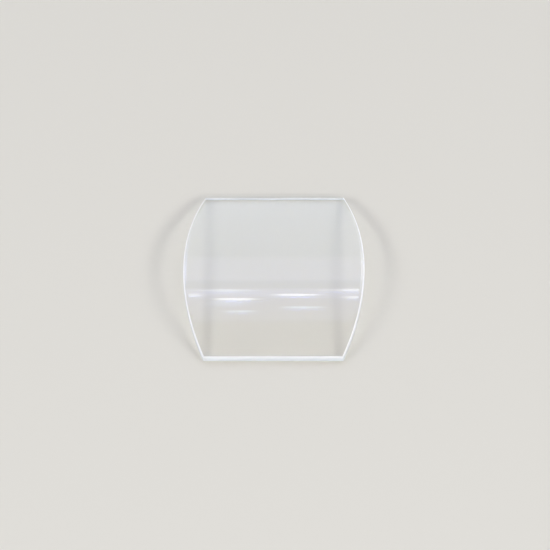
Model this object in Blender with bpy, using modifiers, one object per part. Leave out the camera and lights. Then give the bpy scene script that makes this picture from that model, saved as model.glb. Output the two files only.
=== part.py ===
"""Curved tonneau wristwatch crystal: one bent sheet of clear glass.

The crystal is a plate of even thickness bent along its 12-6 length about an
axis that runs 3-9, then ground upright all round to a barrel outline with
straight 12 and 6 ends and bowed 3 and 9 sides. It stands on the two narrow
ground lands under its ends, with the hollow side down.

Frame: origin under the middle of the crystal on the plane of the two lands,
+X to 3 o'clock, +Y to 12 o'clock, +Z out of the watch. Units are metres.
"""
import math

import bmesh
import bpy
from mathutils import Matrix

MM = 0.001

# Driving dimensions
LENGTH_12_6 = 32.7 * MM    # between the two straight ends
WIDTH_3_9 = 29.1 * MM      # across the widest place, at mid length
END_WIDTH = 22.3 * MM      # length of each straight end
CREST_HEIGHT = 3.17 * MM   # top of the arch above the lands
END_HEIGHT = 1.02 * MM     # height of each straight end before its edges are broken
THICKNESS = 1.1 * MM       # of the glass, square to its faces
TOP_BEVEL = 0.25 * MM      # of the edge round the convex face
ARRIS = 0.1 * MM           # of the edge round the hollow face, and at the four corners
STRIPS = 31                # facets along the length, odd, so that an end falls inside one
OVERRUN = 1.5              # facets by which the bent plate runs past each end before grinding

# Derived
HALF_LENGTH = LENGTH_12_6 / 2
RISE = CREST_HEIGHT - END_HEIGHT
OUTER_RADIUS = (HALF_LENGTH ** 2 + RISE ** 2) / (2 * RISE)
INNER_RADIUS = OUTER_RADIUS - THICKNESS
BEND_Z = CREST_HEIGHT - OUTER_RADIUS          # height of the bend's axis
BOW = (WIDTH_3_9 - END_WIDTH) / 2             # how far each long side swells
SIDE_RADIUS = (HALF_LENGTH ** 2 + BOW ** 2) / (2 * BOW)
STEP = LENGTH_12_6 / STRIPS


def arch_height(radius, y):
    """Height of a bent face of that radius at a place along the length."""
    return BEND_Z + math.sqrt(radius ** 2 - y ** 2)


def half_width(y):
    """Half the barrel outline's width at a place along the length."""
    return WIDTH_3_9 / 2 - SIDE_RADIUS + math.sqrt(SIDE_RADIUS ** 2 - y ** 2)


def land_start():
    """Where the hollow face comes down to the plane of the lands."""
    return math.sqrt(INNER_RADIUS ** 2 - BEND_Z ** 2)


def clear_scene():
    for thing in list(bpy.data.objects):
        bpy.data.objects.remove(thing, do_unlink=True)


def new_collection(name):
    group = bpy.data.collections.new(name)
    bpy.context.scene.collection.children.link(group)
    return group


def outline_solid(name, points, half_depth, group, rotation=(0, 0, 0), location=(0, 0, 0)):
    """A flat closed outline, filled and thickened both ways, as a closed mesh object."""
    curve = bpy.data.curves.new(name + "_outline", "CURVE")
    curve.dimensions = "2D"
    curve.fill_mode = "BOTH"
    curve.extrude = half_depth
    spline = curve.splines.new("POLY")
    spline.points.add(len(points) - 1)
    for point, (a, b) in zip(spline.points, points):
        point.co = (a, b, 0, 1)
    spline.use_cyclic_u = True

    drawn = bpy.data.objects.new(name + "_drawn", curve)
    drawn.rotation_euler = rotation
    drawn.location = location
    group.objects.link(drawn)
    bpy.context.view_layer.update()

    evaluated = drawn.evaluated_get(bpy.context.evaluated_depsgraph_get())
    mesh = bpy.data.meshes.new_from_object(evaluated)
    solid = bpy.data.objects.new(name, mesh)
    solid.matrix_world = drawn.matrix_world
    group.objects.link(solid)
    bpy.data.objects.remove(drawn, do_unlink=True)
    bpy.data.curves.remove(curve)

    bm = bmesh.new()
    bm.from_mesh(mesh)
    bmesh.ops.remove_doubles(bm, verts=bm.verts, dist=1e-6)
    bmesh.ops.recalc_face_normals(bm, faces=bm.faces)
    bm.to_mesh(mesh)
    bm.free()
    mesh.name = name
    return solid


def glass_material():
    material = bpy.data.materials.new("clear_glass")
    material.use_nodes = True
    shader = material.node_tree.nodes["Principled BSDF"]
    shader.inputs["Base Color"].default_value = (0.95, 0.97, 0.98, 1)
    shader.inputs["Metallic"].default_value = 0.0
    shader.inputs["Roughness"].default_value = 0.02
    shader.inputs["IOR"].default_value = 1.52
    shader.inputs["Transmission Weight"].default_value = 1.0
    return material


def weigh_edges(mesh):
    """Marks how wide each sharp edge is broken, as a share of the bevel round the convex face."""
    bm = bmesh.new()
    bm.from_mesh(mesh)
    bm.normal_update()
    share = bm.edges.layers.float.new("bevel_weight_edge")
    for edge in bm.edges:
        if len(edge.link_faces) != 2 or edge.calc_face_angle() < math.radians(50):
            continue
        one, other = (face.normal for face in edge.link_faces)
        edge[share] = 1.0 if one.z + other.z > 0.5 else ARRIS / TOP_BEVEL
    bm.to_mesh(mesh)
    bm.free()


def apply_modifiers(piece):
    """Keeps the piece's evaluated shape, upright in the frame, as its own mesh."""
    evaluated = piece.evaluated_get(bpy.context.evaluated_depsgraph_get())
    drawn = piece.data
    piece.data = bpy.data.meshes.new_from_object(evaluated)
    piece.data.transform(piece.matrix_world)
    piece.matrix_world = Matrix.Identity(4)
    piece.modifiers.clear()
    bpy.data.meshes.remove(drawn)
    piece.data.name = piece.name


def bent_plate_profile():
    """Side view of the bent plate, past both ends: y along it and height over the lands."""
    reach = int(STRIPS / 2 + OVERRUN)
    outer = [(k * STEP, arch_height(OUTER_RADIUS, k * STEP)) for k in range(-reach, reach + 1)]
    inner_stop = land_start()
    inner_steps = int(inner_stop / STEP)
    inner = [(k * STEP, arch_height(INNER_RADIUS, k * STEP)) for k in range(-inner_steps, inner_steps + 1)]
    far = reach * STEP
    return outer + [(far, 0), (inner_stop, 0)] + inner[::-1] + [(-inner_stop, 0), (-far, 0)]


def barrel_outline():
    """Plan view: straight ends joined by the two bowed sides."""
    stations = sorted([0.0] + [(k - STRIPS / 2) * STEP for k in range(STRIPS + 1)])
    right = [(half_width(y), y) for y in stations]
    left = [(-half_width(y), y) for y in reversed(stations)]
    return right + left


def build():
    clear_scene()
    parts = new_collection("curved_watch_crystal")
    cutters = new_collection("cutters")

    crystal = outline_solid("crystal", bent_plate_profile(), WIDTH_3_9 / 2 + 1 * MM, parts,
                            rotation=(math.pi / 2, 0, math.pi / 2))
    grind = outline_solid("barrel_grind", barrel_outline(), CREST_HEIGHT, cutters,
                          location=(0, 0, CREST_HEIGHT / 2))
    grind.display_type = "WIRE"
    grind.hide_render = True

    cut = crystal.modifiers.new("ground_outline", "BOOLEAN")
    cut.operation = "INTERSECT"
    cut.object = grind
    cut.solver = "EXACT"
    bpy.context.view_layer.update()
    apply_modifiers(crystal)

    weigh_edges(crystal.data)
    broken = crystal.modifiers.new("broken_edges", "BEVEL")
    broken.width = TOP_BEVEL
    broken.segments = 1
    broken.limit_method = "WEIGHT"
    broken.use_clamp_overlap = True

    crystal.data.materials.clear()
    crystal.data.materials.append(glass_material())
    crystal.data.shade_smooth()
    crystal.data.set_sharp_from_angle(angle=math.radians(25))


build()
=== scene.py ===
import math

import bpy
from mathutils import Matrix, Vector


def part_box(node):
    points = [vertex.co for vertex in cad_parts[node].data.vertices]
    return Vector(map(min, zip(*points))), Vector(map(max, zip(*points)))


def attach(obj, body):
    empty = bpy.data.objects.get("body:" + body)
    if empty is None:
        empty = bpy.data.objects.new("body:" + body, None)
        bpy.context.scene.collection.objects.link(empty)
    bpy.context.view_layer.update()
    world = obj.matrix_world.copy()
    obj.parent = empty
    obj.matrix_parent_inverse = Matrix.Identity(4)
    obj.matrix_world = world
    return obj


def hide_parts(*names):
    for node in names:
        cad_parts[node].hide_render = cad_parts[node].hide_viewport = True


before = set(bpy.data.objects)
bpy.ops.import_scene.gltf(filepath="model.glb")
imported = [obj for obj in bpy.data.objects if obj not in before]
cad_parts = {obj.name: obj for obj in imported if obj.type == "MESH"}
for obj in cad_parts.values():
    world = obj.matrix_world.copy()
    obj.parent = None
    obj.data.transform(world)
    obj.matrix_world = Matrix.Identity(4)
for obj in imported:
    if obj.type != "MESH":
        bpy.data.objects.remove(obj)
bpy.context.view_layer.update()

MM = 0.001

# ---------------------------------------------------------------- sizes
BOX_LO, BOX_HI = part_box("crystal")
HALF_LENGTH = BOX_HI.y               # 12-6, to the straight ends
HALF_WIDTH = BOX_HI.x                # 3-9, at the middle
CREST = BOX_HI.z                     # top of the arch over the lands
END_WIDTH = 22.3 * MM                # length of each straight end
END_HEIGHT = 1.02 * MM               # unbroken height of each end
THICKNESS = 1.1 * MM

TOP_ARRIS = 0.205 * MM               # ground 45 degree arris round the convex face
TOP_BEVEL = 0.37 * MM                # polished bevel inside it, plan width
BEVEL_TILT = math.radians(10)        # of that bevel, from the face
LOW_ARRIS = 0.06 * MM                # ground arris round the hollow face
CORNER = 0.12 * MM                   # radius of the four upright corners
EASE = 0.035 * MM                    # half width of the softened polished edge

RISE = CREST - END_HEIGHT
OUTER_R = (HALF_LENGTH ** 2 + RISE ** 2) / (2 * RISE)
INNER_R = OUTER_R - THICKNESS
BEND_Z = CREST - OUTER_R
BOW = HALF_WIDTH - END_WIDTH / 2
SIDE_R = (HALF_LENGTH ** 2 + BOW ** 2) / (2 * BOW)
SIDE_X = HALF_WIDTH - SIDE_R         # centre of the right side's arc

ROWS = 132                           # stations along the length
COLUMNS = 28                         # across it
CORNER_STEPS = 4


def top_z(y):
    return BEND_Z + math.sqrt(OUTER_R ** 2 - y * y)


def low_z(y):
    return max(0.0, BEND_Z + math.sqrt(max(0.0, INNER_R ** 2 - y * y)))


def half_width(y, inset):
    return SIDE_X + math.sqrt((SIDE_R - inset) ** 2 - y * y)


LAND_Y = math.sqrt(INNER_R ** 2 - BEND_Z ** 2)                      # where the hollow meets the land
LAND_V = LAND_Y / (HALF_LENGTH - LOW_ARRIS)
V = [-1.0] + [LAND_V * (2 * k / (ROWS - 2) - 1) for k in range(ROWS - 1)] + [1.0]
U = [2 * k / COLUMNS - 1 for k in range(COLUMNS + 1)]


# ---------------------------------------------------------------- the glass mesh
class Glass:
    """Collects points, faces, each face corner's normal, each face's finish and its place along the rim."""

    def __init__(self):
        self.points, self.faces, self.normals, self.finish, self.rim = [], [], [], [], []

    def point(self, x, y, z):
        self.points.append((x, y, z))
        return len(self.points) - 1

    def face(self, corners, normals, finish, rim=None):
        rim = rim or [(0.0, 0.0)] * len(corners)
        kept = [k for k in range(len(corners)) if corners[k] != corners[k - 1]]
        if len(kept) < 3:
            return
        self.faces.append([corners[k] for k in kept])
        self.normals.append([normals[k] for k in kept])
        self.rim.append([rim[k] for k in kept])
        self.finish.append(finish)


def outline(inset, rounded):
    """Stations round the outline, anticlockwise from the front right corner: (x, y, outward direction).
    A corner is CORNER_STEPS + 1 stations, which all fall on one place where it isn't rounded."""
    length = HALF_LENGTH - inset
    end_x = half_width(length, inset)
    quarter = []

    def side_out(x, y, s):
        d = Vector((x - s * SIDE_X, y))
        return d.normalized()

    loop = []
    for sx, sy in ((1, 1), (-1, 1), (-1, -1), (1, -1)):
        corner = Vector((sx * end_x, sy * length))
        out_side = side_out(corner.x, corner.y, sx)
        out_end = Vector((0, sy))
        along_side = Vector((-out_side.y, out_side.x))
        if along_side.y * sy > 0:
            along_side = -along_side
        along_end = Vector((-sx, 0))
        angle = along_side.angle(along_end)
        centre = corner + (along_side + along_end).normalized() * (CORNER / math.sin(angle / 2))
        arc = []
        for k in range(CORNER_STEPS + 1):
            t = k / CORNER_STEPS
            out = out_side.slerp(out_end, t)
            place = centre + out * CORNER if rounded else corner
            arc.append((place.x, place.y, out))
        quarter.append(arc)

    def side(s, rising):
        stations = [v for v in V[1:-1]]
        if not rising:
            stations = stations[::-1]
        result = []
        for v in stations:
            y = v * length
            x = s * half_width(y, inset)
            result.append((x, y, side_out(x, y, s)))
        return result

    def end(s, leftward):
        stations = U[1:-1][::-1] if leftward else U[1:-1]
        return [(u * end_x, s * length, Vector((0, s))) for u in stations]

    loop += side(1, True) + quarter[0] + end(1, True) + quarter[1][::-1]
    loop += side(-1, False) + quarter[2] + end(-1, False) + quarter[3][::-1]
    return loop


def lay_ring(glass, inset, rounded, height):
    """Points of one ring round the rim, with stations that share a place sharing a point."""
    ids, outs, last = [], [], None
    stations = outline(inset, rounded)
    for x, y, out in stations:
        if last is not None and abs(x - last[0]) < 1e-9 and abs(y - last[1]) < 1e-9:
            ids.append(ids[-1])
        else:
            ids.append(glass.point(x, y, height(y)))
        outs.append(out)
        last = (x, y)
    return ids, outs


def tilted(out, up, lean):
    """A unit normal that leans from the face's normal 'up' by 'lean' towards 'out'."""
    flat = Vector((out.x, out.y, 0))
    flat = (flat - up * flat.dot(up)).normalized()
    return (up * math.cos(lean) + flat * math.sin(lean)).normalized()


def top_normal(y):
    return Vector((0, y / OUTER_R, math.sqrt(1 - (y / OUTER_R) ** 2)))


def low_normal(y):
    return Vector((0, -y / INNER_R, -math.sqrt(1 - (y / INNER_R) ** 2)))


def rim_band(glass, lower, upper, normal_low, normal_high, finish, run, low_v, high_v):
    """Joins two rings with a band. Corner normals come from the outward direction at each station."""
    ids_a, outs_a = lower
    ids_b, outs_b = upper
    n = len(ids_a)
    for k in range(n):
        m = (k + 1) % n
        pa, pb = Vector(glass.points[ids_a[k]]), Vector(glass.points[ids_a[m]])
        qa, qb = Vector(glass.points[ids_b[k]]), Vector(glass.points[ids_b[m]])
        glass.face(
            (ids_a[k], ids_a[m], ids_b[m], ids_b[k]),
            (normal_low(outs_a[k], pa.y), normal_low(outs_a[m], pb.y),
             normal_high(outs_b[m], qb.y), normal_high(outs_b[k], qa.y)),
            finish,
            ((run[k], low_v), (run[k + 1], low_v), (run[k + 1], high_v), (run[k], high_v)),
        )


def crystal_mesh():
    glass = Glass()
    drop = TOP_BEVEL * math.tan(BEVEL_TILT)
    wall_drop = drop + TOP_ARRIS
    bevel_in = TOP_ARRIS + TOP_BEVEL

    def bevel_z(inset):
        share = (bevel_in - inset) / TOP_BEVEL
        return lambda y: top_z(y) - drop * max(0.0, share)

    low_ring = lay_ring(glass, LOW_ARRIS, False, low_z)
    foot = lay_ring(glass, 0.0, True, lambda y: low_z(y) + LOW_ARRIS)
    head = lay_ring(glass, 0.0, True, lambda y: top_z(y) - wall_drop)
    arris = lay_ring(glass, TOP_ARRIS, False, bevel_z(TOP_ARRIS))
    ease_out = lay_ring(glass, bevel_in - EASE, False, bevel_z(bevel_in - EASE))
    ease_in = lay_ring(glass, bevel_in + EASE, False, top_z)

    run = [0.0]
    foot_ids = foot[0]
    for k in range(len(foot_ids)):
        a = Vector(glass.points[foot_ids[k]])
        b = Vector(glass.points[foot_ids[(k + 1) % len(foot_ids)]])
        run.append(run[-1] + (Vector((a.x, a.y)) - Vector((b.x, b.y))).length)

    def flat(out, y):
        return Vector((out.x, out.y, 0))

    def arris_up(out, y):
        return Vector((out.x, out.y, 1)).normalized()

    def arris_down(out, y):
        return Vector((out.x, out.y, -1)).normalized()

    def bevel(out, y):
        return tilted(out, top_normal(y), BEVEL_TILT)

    def face_up(out, y):
        return top_normal(y)

    # Index 3 is ground glass painted whiter and less clear than the wall: painted brightness on the top arris band and
    # the lands.
    POLISHED, GROUND, COATED, GROUND_PAINTED_BRIGHT = 0, 1, 2, 3
    rim_band(glass, low_ring, foot, arris_down, arris_down, GROUND, run, -LOW_ARRIS * 1.4, 0.0)
    rim_band(glass, foot, head, flat, flat, GROUND, run, 0.0, THICKNESS - wall_drop)
    # the top arris band takes the whiter ground finish: painted brightness
    rim_band(glass, head, arris, arris_up, arris_up, GROUND_PAINTED_BRIGHT, run, THICKNESS - wall_drop,
             THICKNESS - wall_drop + TOP_ARRIS * 1.4)
    rim_band(glass, arris, ease_out, bevel, bevel, POLISHED, run, 0.0, 0.0)
    rim_band(glass, ease_out, ease_in, bevel, face_up, POLISHED, run, 0.0, 0.0)

    def grid(ring, inset, height, upward):
        """Fills a ring with a grid whose outer points are the ring's own."""
        ids, _ = ring
        side = len(V) - 2
        arc = CORNER_STEPS + 1
        end = len(U) - 2
        corner_a = ids[side]                                 # back right
        back = ids[side + arc: side + arc + end]
        corner_b = ids[side + arc + end]
        left = ids[side + 2 * arc + end: 2 * side + 2 * arc + end]
        corner_c = ids[2 * side + 2 * arc + end]
        front = ids[2 * side + 3 * arc + end: 2 * side + 3 * arc + 2 * end]
        corner_d = ids[2 * side + 3 * arc + 2 * end]
        right = ids[:side]
        table = {}
        last_row, last_col = len(V) - 1, len(U) - 1
        for j, v in enumerate(V):
            for i, u in enumerate(U):
                if j == 0:
                    table[i, j] = corner_c if i == 0 else corner_d if i == last_col else front[i - 1]
                elif j == last_row:
                    table[i, j] = corner_b if i == 0 else corner_a if i == last_col else back[end - i]
                elif i == 0:
                    table[i, j] = left[side - j]
                elif i == last_col:
                    table[i, j] = right[j - 1]
                else:
                    y = v * (HALF_LENGTH - inset)
                    table[i, j] = glass.point(u * half_width(y, inset), y, height(y))
        for j in range(last_row):
            for i in range(last_col):
                corners = [table[i, j], table[i + 1, j], table[i + 1, j + 1], table[i, j + 1]]
                ys = [glass.points[c][1] for c in corners]
                land = not upward and j in (0, last_row - 1)
                if upward:
                    normals = [top_normal(y) for y in ys]
                elif land:
                    normals = [Vector((0, 0, -1))] * 4
                else:
                    normals = [low_normal(y) for y in ys]
                if not upward:
                    corners, normals = corners[::-1], normals[::-1]
                places = [(glass.points[c][0], abs(glass.points[c][1])) for c in corners]
                # the lands take the same whiter ground finish: painted brightness
                glass.face(corners, normals, POLISHED if upward else GROUND_PAINTED_BRIGHT if land else COATED, places)

    grid(ease_in, bevel_in + EASE, top_z, True)
    grid(low_ring, LOW_ARRIS, low_z, False)

    mesh = bpy.data.meshes.new("watch_crystal")
    mesh.from_pydata(glass.points, [], glass.faces)
    mesh.validate(verbose=False)
    if len(mesh.polygons) != len(glass.faces):
        raise RuntimeError("a face of the crystal was dropped")
    mesh.polygons.foreach_set("use_smooth", [True] * len(mesh.polygons))
    mesh.polygons.foreach_set("material_index", glass.finish)
    layer = mesh.uv_layers.new(name="rim")
    for polygon, places in zip(mesh.polygons, glass.rim):
        for loop_index, (a, b) in zip(polygon.loop_indices, places):
            layer.data[loop_index].uv = (a / MM, b / MM)     # in millimetres along and up the rim
    mesh.normals_split_custom_set([tuple(n) for group in glass.normals for n in group])
    mesh.update()
    return mesh


# ---------------------------------------------------------------- materials
def nodes_of(material):
    material.use_nodes = True
    tree = material.node_tree
    return tree, tree.nodes["Principled BSDF"], tree.nodes, tree.links


def add(nodes, kind, **values):
    node = nodes.new(kind)
    for name, value in values.items():
        if hasattr(node, name):
            setattr(node, name, value)
        else:
            node.inputs[name.replace("_", " ")].default_value = value
    return node


def polished_glass(name, coated=False):
    """Clear polished glass with the faint wipe marks, hairlines and slow waviness of a bent, polished plate.
    The hollow face is coated against reflection, which leaves a weak blue one."""
    material = bpy.data.materials.new(name)
    tree, shader, nodes, links = nodes_of(material)
    if coated:
        shader.inputs["Specular Tint"].default_value = (0.10, 0.16, 0.45, 1)
    shader.inputs["Base Color"].default_value = (0.985, 0.992, 0.996, 1)
    shader.inputs["Transmission Weight"].default_value = 1.0
    shader.inputs["IOR"].default_value = 1.52
    place = add(nodes, "ShaderNodeTexCoord")

    # wipe marks: soft streaks that lie a little across the length
    turn = add(nodes, "ShaderNodeMapping")
    turn.inputs["Rotation"].default_value = (0, 0, math.radians(24))
    turn.inputs["Scale"].default_value = (90, 900, 400)
    links.new(place.outputs["Object"], turn.inputs["Vector"])
    wipe = add(nodes, "ShaderNodeTexNoise", Scale=1.0, Detail=5.0, Roughness=0.6)
    links.new(turn.outputs["Vector"], wipe.inputs["Vector"])
    rough = add(nodes, "ShaderNodeMapRange")
    for name, value in (("From Min", 0.45), ("From Max", 0.8), ("To Min", 0.004), ("To Max", 0.03)):
        rough.inputs[name].default_value = value
    links.new(wipe.outputs["Fac"], rough.inputs["Value"])
    links.new(rough.outputs["Result"], shader.inputs["Roughness"])

    # slow waviness left by bending, and fine hairlines
    slow = add(nodes, "ShaderNodeTexNoise", Scale=160.0, Detail=1.0, Roughness=0.4)
    links.new(place.outputs["Object"], slow.inputs["Vector"])
    bump = add(nodes, "ShaderNodeBump", Strength=1.0, Distance=0.0000008)
    links.new(slow.outputs["Fac"], bump.inputs["Height"])

    warp = add(nodes, "ShaderNodeMapping")
    warp.inputs["Rotation"].default_value = (0, 0, math.radians(-63))
    warp.inputs["Scale"].default_value = (60, 4200, 300)
    links.new(place.outputs["Object"], warp.inputs["Vector"])
    hair = add(nodes, "ShaderNodeTexNoise", Scale=1.0, Detail=2.0, Roughness=0.5)
    links.new(warp.outputs["Vector"], hair.inputs["Vector"])
    pick = add(nodes, "ShaderNodeMapRange")
    for name, value in (("From Min", 0.74), ("From Max", 0.8), ("To Min", 0.0), ("To Max", 1.0)):
        pick.inputs[name].default_value = value
    links.new(hair.outputs["Fac"], pick.inputs["Value"])
    fine = add(nodes, "ShaderNodeBump", Strength=0.5, Distance=0.0000005)
    links.new(pick.outputs["Result"], fine.inputs["Height"])
    links.new(bump.outputs["Normal"], fine.inputs["Normal"])
    links.new(fine.outputs["Normal"], shader.inputs["Normal"])
    return material


def ground_glass(name, clear, dull):
    """The rim's ground finish: a fine satin grain with faint wheel lines that run round the rim. The top arris band and
    the lands are ground too, but they get a whiter, less clear copy whose extra whiteness is painted brightness."""
    material = bpy.data.materials.new(name)
    tree, shader, nodes, links = nodes_of(material)
    shader.inputs["IOR"].default_value = 1.52
    shader.inputs["Transmission Weight"].default_value = clear
    place = add(nodes, "ShaderNodeUVMap", uv_map="rim")

    lines_at = add(nodes, "ShaderNodeMapping")
    lines_at.inputs["Scale"].default_value = (0.35, 22, 1)
    links.new(place.outputs["UV"], lines_at.inputs["Vector"])
    lines = add(nodes, "ShaderNodeTexNoise", Scale=1.0, Detail=4.0, Roughness=0.65)
    links.new(lines_at.outputs["Vector"], lines.inputs["Vector"])

    object_place = add(nodes, "ShaderNodeTexCoord")
    grain = add(nodes, "ShaderNodeTexNoise", Scale=26000.0, Detail=3.0, Roughness=0.7)
    links.new(object_place.outputs["Object"], grain.inputs["Vector"])
    cloud = add(nodes, "ShaderNodeTexNoise", Scale=900.0, Detail=3.0, Roughness=0.55)
    links.new(object_place.outputs["Object"], cloud.inputs["Vector"])

    both = add(nodes, "ShaderNodeMix", data_type="FLOAT")
    both.inputs[0].default_value = 0.5
    links.new(lines.outputs["Fac"], both.inputs[2])
    links.new(grain.outputs["Fac"], both.inputs[3])

    tone = add(nodes, "ShaderNodeValToRGB")
    tone.color_ramp.elements[0].position = 0.3
    tone.color_ramp.elements[0].color = (*dull, 1)
    tone.color_ramp.elements[1].position = 0.7
    tone.color_ramp.elements[1].color = (0.97, 0.985, 1.0, 1)
    mixed = add(nodes, "ShaderNodeMix", data_type="FLOAT")
    mixed.inputs[0].default_value = 0.5
    links.new(both.outputs[0], mixed.inputs[2])
    links.new(cloud.outputs["Fac"], mixed.inputs[3])
    links.new(mixed.outputs[0], tone.inputs["Fac"])
    links.new(tone.outputs["Color"], shader.inputs["Base Color"])

    rough = add(nodes, "ShaderNodeMapRange")
    for name, value in (("From Min", 0.3), ("From Max", 0.7), ("To Min", 0.38), ("To Max", 0.62)):
        rough.inputs[name].default_value = value
    links.new(both.outputs[0], rough.inputs["Value"])
    links.new(rough.outputs["Result"], shader.inputs["Roughness"])

    bump = add(nodes, "ShaderNodeBump", Strength=0.5, Distance=0.000004)
    links.new(both.outputs[0], bump.inputs["Height"])
    links.new(bump.outputs["Normal"], shader.inputs["Normal"])
    return material


crystal = bpy.data.objects.new("watch_crystal", crystal_mesh())
bpy.context.scene.collection.objects.link(crystal)
# The fourth finish, on the top arris band and the lands, is ground glass painted whiter and less clear than the wall:
# painted brightness.
for finish in (polished_glass("clear_glass_polished"), ground_glass("clear_glass_ground", 0.7, (0.86, 0.915, 0.97)),
               polished_glass("clear_glass_coated", True), ground_glass("clear_glass_arris_painted_bright", 0.15, (0.95, 0.97, 0.99))):
    crystal.data.materials.append(finish)
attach(crystal, "root")
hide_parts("crystal")

# ---------------------------------------------------------------- camera
ELEVATION = math.radians(52.0)
AZIMUTH = math.radians(1.16)
ROLL = math.radians(0.94)            # the picture's slight anticlockwise turn
DISTANCE = 1.1
SCALE = 6222.0                       # picture widths of 550 hold 550 / 6.222 mm at the object
back = Vector((math.sin(AZIMUTH) * math.cos(ELEVATION),
               -math.cos(AZIMUTH) * math.cos(ELEVATION), math.sin(ELEVATION)))
turned = (-back).to_track_quat("-Z", "Y").to_matrix() @ Matrix.Rotation(-ROLL, 3, "Z")
right, up = turned @ Vector((1, 0, 0)), turned @ Vector((0, 1, 0))
aim = right * (1.0 / SCALE) + up * (5.2 / SCALE)
camera = bpy.data.objects.new("camera", bpy.data.cameras.new("camera"))
bpy.context.scene.collection.objects.link(camera)
camera.matrix_world = Matrix.Translation(aim + back * DISTANCE) @ turned.to_4x4()
camera.data.sensor_width = 36.0
camera.data.lens = SCALE * DISTANCE / 550 * 36
camera.data.clip_start, camera.data.clip_end = 0.05, 6.0
bpy.context.scene.camera = camera

# ---------------------------------------------------------------- floor
floor_mesh = bpy.data.meshes.new("floor")
S = 1.5
floor_mesh.from_pydata([(-S, -S, 0), (S, -S, 0), (S, S, 0), (-S, S, 0)], [], [(0, 1, 2, 3)])
floor = bpy.data.objects.new("floor", floor_mesh)
floor.location.z = -0.00002
bpy.context.scene.collection.objects.link(floor)
paper = bpy.data.materials.new("pale_floor")
paper.use_nodes = True
paper_shader = paper.node_tree.nodes["Principled BSDF"]
paper_shader.inputs["Base Color"].default_value = (0.735, 0.724, 0.656, 1)
paper_shader.inputs["Roughness"].default_value = 1.0
paper_shader.inputs["Specular IOR Level"].default_value = 0.0
floor_mesh.materials.append(paper)


# ---------------------------------------------------------------- soft studio light
def room():
    """A soft dome, brighter low down than overhead. Behind the object it opens on a calmer stretch of room, which the
    polished face mirrors: a bright strip along the floor, a dim wall, a cool sky-lit band, a dark ceiling overhead."""
    world = bpy.data.worlds.new("studio")
    bpy.context.scene.world = world
    world.use_nodes = True
    nodes, links = world.node_tree.nodes, world.node_tree.links
    nodes.clear()
    out = nodes.new("ShaderNodeOutputWorld")
    place = add(nodes, "ShaderNodeTexCoord")
    split = add(nodes, "ShaderNodeSeparateXYZ")
    links.new(place.outputs["Generated"], split.inputs["Vector"])

    def ramp(source, stops, low, high):
        share = add(nodes, "ShaderNodeMapRange")
        for name, value in (("From Min", low), ("From Max", high), ("To Min", 0.0), ("To Max", 1.0)):
            share.inputs[name].default_value = value
        links.new(source, share.inputs["Value"])
        node = add(nodes, "ShaderNodeValToRGB")
        node.color_ramp.interpolation = "LINEAR"
        places = [((at - low) / (high - low), colour if isinstance(colour, tuple) else (colour,) * 3) for at, colour in stops]
        elements = node.color_ramp.elements
        elements[0].position, elements[0].color = places[0][0], (*places[0][1], 1)
        elements[1].position, elements[1].color = places[-1][0], (*places[-1][1], 1)
        for position, colour in places[1:-1]:
            element = elements.new(position)
            element.color = (*colour, 1)
        links.new(share.outputs["Result"], node.inputs["Fac"])
        return node.outputs["Color"]

    def mixed(fac, one, other, kind="MIX"):
        node = add(nodes, "ShaderNodeMix", data_type="RGBA", blend_type=kind)
        node.clamp_result = False
        if isinstance(fac, float):
            node.inputs[0].default_value = fac
        else:
            links.new(fac, node.inputs[0])
        for socket, value in ((6, one), (7, other)):
            if isinstance(value, tuple):
                node.inputs[socket].default_value = value
            else:
                links.new(value, node.inputs[socket])
        return node.outputs[2]

    dome = ramp(split.outputs["Z"], DOME, -1.0, 1.0)

    lean = add(nodes, "ShaderNodeMath", operation="ARCTAN2")      # 0 overhead, positive towards +Y
    links.new(split.outputs["Y"], lean.inputs[0])
    links.new(split.outputs["Z"], lean.inputs[1])
    degrees = add(nodes, "ShaderNodeMath", operation="MULTIPLY")
    degrees.inputs[1].default_value = 180 / math.pi
    links.new(lean.outputs[0], degrees.inputs[0])
    bands = ramp(degrees.outputs[0], BANDS, -90.0, 90.0)
    along = ramp(degrees.outputs[0], [(-90, 0.0), (-30, 0.0), (-22, 1.0), (90, 1.0)], -90.0, 90.0)
    across = ramp(split.outputs["X"], [(-1, 0.0), (-0.62, 0.0), (-0.45, 1.0), (0.45, 1.0), (0.62, 0.0), (1, 0.0)], -1.0, 1.0)
    window = mixed(1.0, along, across, "MULTIPLY")

    whole = mixed(window, dome, bands)

    # soft patches that only the narrow bevels along the sides mirror
    for direction, tight, colour in PATCHES:
        aim_at = Vector(direction).normalized()
        dot = add(nodes, "ShaderNodeVectorMath", operation="DOT_PRODUCT")
        links.new(place.outputs["Generated"], dot.inputs[0])
        dot.inputs[1].default_value = tuple(aim_at)
        lobe = add(nodes, "ShaderNodeMath", operation="POWER")
        lobe.inputs[1].default_value = tight
        high = add(nodes, "ShaderNodeMath", operation="MAXIMUM")
        high.inputs[1].default_value = 0.0
        links.new(dot.outputs["Value"], high.inputs[0])
        links.new(high.outputs[0], lobe.inputs[0])
        patch = mixed(1.0, lobe.outputs[0], (*colour, 1), "MULTIPLY")
        whole = mixed(1.0, whole, patch, "ADD")

    lit = nodes.new("ShaderNodeBackground")
    lit.inputs["Strength"].default_value = 0.79
    links.new(whole, lit.inputs["Color"])
    plain = nodes.new("ShaderNodeBackground")
    plain.inputs["Color"].default_value = (0.76, 0.755, 0.735, 1)
    path = nodes.new("ShaderNodeLightPath")
    mix = nodes.new("ShaderNodeMixShader")
    links.new(path.outputs["Is Camera Ray"], mix.inputs["Fac"])
    links.new(lit.outputs[0], mix.inputs[1])
    links.new(plain.outputs[0], mix.inputs[2])
    links.new(mix.outputs[0], out.inputs["Surface"])


# sine of the elevation, radiance
DOME = [(-1, 0.45), (-0.02, 0.45), (0.0, 0.86), (0.25, 0.86), (0.5, 0.56), (0.75, 0.34), (1.0, 0.22)]
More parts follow.
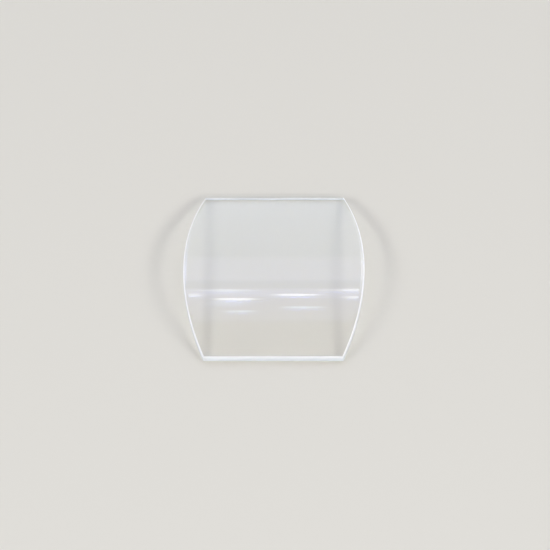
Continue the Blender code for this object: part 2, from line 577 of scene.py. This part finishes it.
# lean behind overhead in degrees, radiance
BANDS = [
    (-90, (0.72, 0.73, 0.75)), (-22, (0.50, 0.58, 0.70)), (-12, (0.50, 0.60, 0.76)), (-6, (0.42, 0.20, 0.06)),
    (18.6, (0.42, 0.20, 0.06)), (20.2, (1.00, 0.86, 1.00)), (26.0, (0.92, 0.84, 1.32)), (27.0, (0.88, 0.84, 1.32)),
    (28.0, (1.72, 1.72, 2.60)), (30.3, (1.66, 1.74, 2.65)), (30.8, (0.70, 0.80, 1.28)), (33.0, (0.56, 0.76, 1.25)),
    (34.0, (1.72, 1.80, 2.30)), (42.0, (1.60, 1.72, 2.10)), (43.0, (1.06, 1.30, 1.55)), (52.0, (1.44, 1.66, 1.88)),
    (60.0, (1.66, 1.88, 2.10)), (67.0, (1.76, 1.98, 2.16)), (70.0, (0.95, 1.00, 1.02)), (83.5, (0.85, 0.87, 0.86)),
    (85.0, (2.90, 2.90, 2.80)), (90.0, (2.90, 2.90, 2.80)),
]
PATCHES = [
    ((-0.29, 0.615, 0.73), 110.0, (1.5, 1.6, 2.6)),
    ((0.28, 0.61, 0.735), 100.0, (3.8, 3.8, 3.8)),
]


def softbox(name, azimuth, elevation, distance, size, watts, colour):
    """An area light that faces the object. Azimuth 0 is the +Y side, 90 the +X side."""
    a, e = math.radians(azimuth), math.radians(elevation)
    place = Vector((math.sin(a) * math.cos(e), math.cos(a) * math.cos(e), math.sin(e))) * distance
    data = bpy.data.lights.new(name, "AREA")
    data.shape = "RECTANGLE"
    data.size, data.size_y = size
    data.energy = watts
    data.color = colour
    lamp = bpy.data.objects.new(name, data)
    lamp.location = place
    lamp.rotation_mode = "QUATERNION"
    lamp.rotation_quaternion = (-place).to_track_quat("-Z", "Y")
    lamp.visible_camera = False
    bpy.context.scene.collection.objects.link(lamp)
    return lamp


room()
softbox("soft_right", 120, 26, 1.0, (0.80, 0.15), 3.9, (1.0, 0.99, 0.97))
softbox("soft_left", -118, 28, 1.0, (0.80, 0.15), 3.3, (1.0, 0.99, 0.97))
softbox("soft_front", 180, 32, 1.0, (1.50, 0.90), 1.8, (1.0, 0.99, 0.97))
softbox("soft_back_right", 56, 32, 1.0, (0.80, 0.60), 0.35, (1.0, 0.995, 0.98))
softbox("soft_back_left", -56, 32, 1.0, (0.80, 0.60), 0.35, (1.0, 0.995, 0.98))


def strip_lamp(name, x, lean, width, height, radiance, colour=(0.93, 0.96, 1.0), distance=1.2):
    """A small round lamp in the ceiling behind: x is where its reflection shows across the crystal, lean how far
    behind overhead it hangs. Only the polished faces mirror it."""
    reach = 1 + distance / DISTANCE
    camera_x = (aim + back * DISTANCE).x
    centre = Vector((x * reach - camera_x * distance / DISTANCE, math.sin(lean) * distance, math.cos(lean) * distance))
    toward = (-centre).normalized()
    across = Vector((1, 0, 0))
    along = toward.cross(across).normalized()
    a, b = across * width * reach / 2, along * height / 2
    mesh = bpy.data.meshes.new(name)
    mesh.from_pydata([tuple(centre - a - b), tuple(centre + a - b), tuple(centre + a + b), tuple(centre - a + b)],
                     [], [(0, 1, 2, 3)])
    layer = mesh.uv_layers.new(name="face")
    for loop, uv in zip(layer.data, ((-1, -1), (1, -1), (1, 1), (-1, 1))):
        loop.uv = uv
    lamp = bpy.data.objects.new(name, mesh)
    bpy.context.scene.collection.objects.link(lamp)
    material = bpy.data.materials.new(name)
    material.use_nodes = True
    nodes, links = material.node_tree.nodes, material.node_tree.links
    nodes.clear()
    out = nodes.new("ShaderNodeOutputMaterial")
    place = add(nodes, "ShaderNodeUVMap", uv_map="face")
    length = add(nodes, "ShaderNodeVectorMath", operation="LENGTH")
    links.new(place.outputs["UV"], length.inputs[0])
    fade = add(nodes, "ShaderNodeMapRange", interpolation_type="SMOOTHSTEP")
    for socket, value in (("From Min", 1.0), ("From Max", 0.15), ("To Min", 0.0), ("To Max", radiance)):
        fade.inputs[socket].default_value = value
    links.new(length.outputs["Value"], fade.inputs["Value"])
    path = nodes.new("ShaderNodeLightPath")
    early = add(nodes, "ShaderNodeMath", operation="LESS_THAN")
    early.inputs[1].default_value = 0.5
    links.new(path.outputs["Diffuse Depth"], early.inputs[0])
    power = add(nodes, "ShaderNodeMath", operation="MULTIPLY")
    links.new(fade.outputs["Result"], power.inputs[0])
    links.new(early.outputs[0], power.inputs[1])
    glow = nodes.new("ShaderNodeEmission")
    glow.inputs["Color"].default_value = (*colour, 1)
    links.new(power.outputs[0], glow.inputs["Strength"])
    clear = nodes.new("ShaderNodeBsdfTransparent")
    both = nodes.new("ShaderNodeAddShader")
    links.new(glow.outputs[0], both.inputs[0])
    links.new(clear.outputs[0], both.inputs[1])
    links.new(both.outputs[0], out.inputs["Surface"])
    mesh.materials.append(material)
    lamp.visible_camera = False
    lamp.visible_diffuse = False
    lamp.visible_shadow = False
    return lamp


# name, x across the crystal (mm), lean (deg), width (mm), height (mm), radiance, colour
WHITE, BLUE = (0.94, 0.975, 1.0), (0.62, 0.80, 1.0)
LAMPS = [
    ("lamp_a", -7.7, 29.6, 14.0, 28, 3.2, (0.80, 0.90, 1.0)),
    ("lamp_b", -6.1, 26.45, 10.2, 29, 8.4, WHITE),
    ("lamp_c", 3.6, 28.0, 10.2, 23, 10.0, WHITE),
    ("lamp_d", 9.7, 29.7, 9.0, 26, 1.9, WHITE),
    ("lamp_e", 12.7, 29.7, 8.0, 34, 4.2, WHITE),
    ("lamp_f", -12.9, 27.9, 5.0, 38, 3.2, WHITE),
    ("lamp_h", 12.7, 27.1, 5.0, 30, 4.6, WHITE),
    ("lamp_b_low", -5.5, 22.1, 7.4, 28, 4.0, BLUE),
    ("lamp_c_low", 4.7, 23.5, 9.5, 28, 4.4, BLUE),
    ("lamp_a_low", -7.2, 24.9, 11.0, 60, 1.4, BLUE),
]
for name, x, lean, width, height, radiance, colour in LAMPS:
    strip_lamp(name, x * MM, math.radians(lean), width * MM, height * MM, radiance, colour)

bpy.context.scene.view_settings.view_transform = "Standard"
bpy.context.scene.view_settings.look = "None"
# Light runs a long way inside the plate before it leaves by the ground rim, and what falls on the floor under the
# glass comes through the polished faces.
cycles = bpy.context.scene.cycles
cycles.blur_glossy = 0.0
cycles.sample_clamp_indirect = 0.0
cycles.max_bounces = cycles.glossy_bounces = cycles.transmission_bounces = 48
cycles.diffuse_bounces = 8
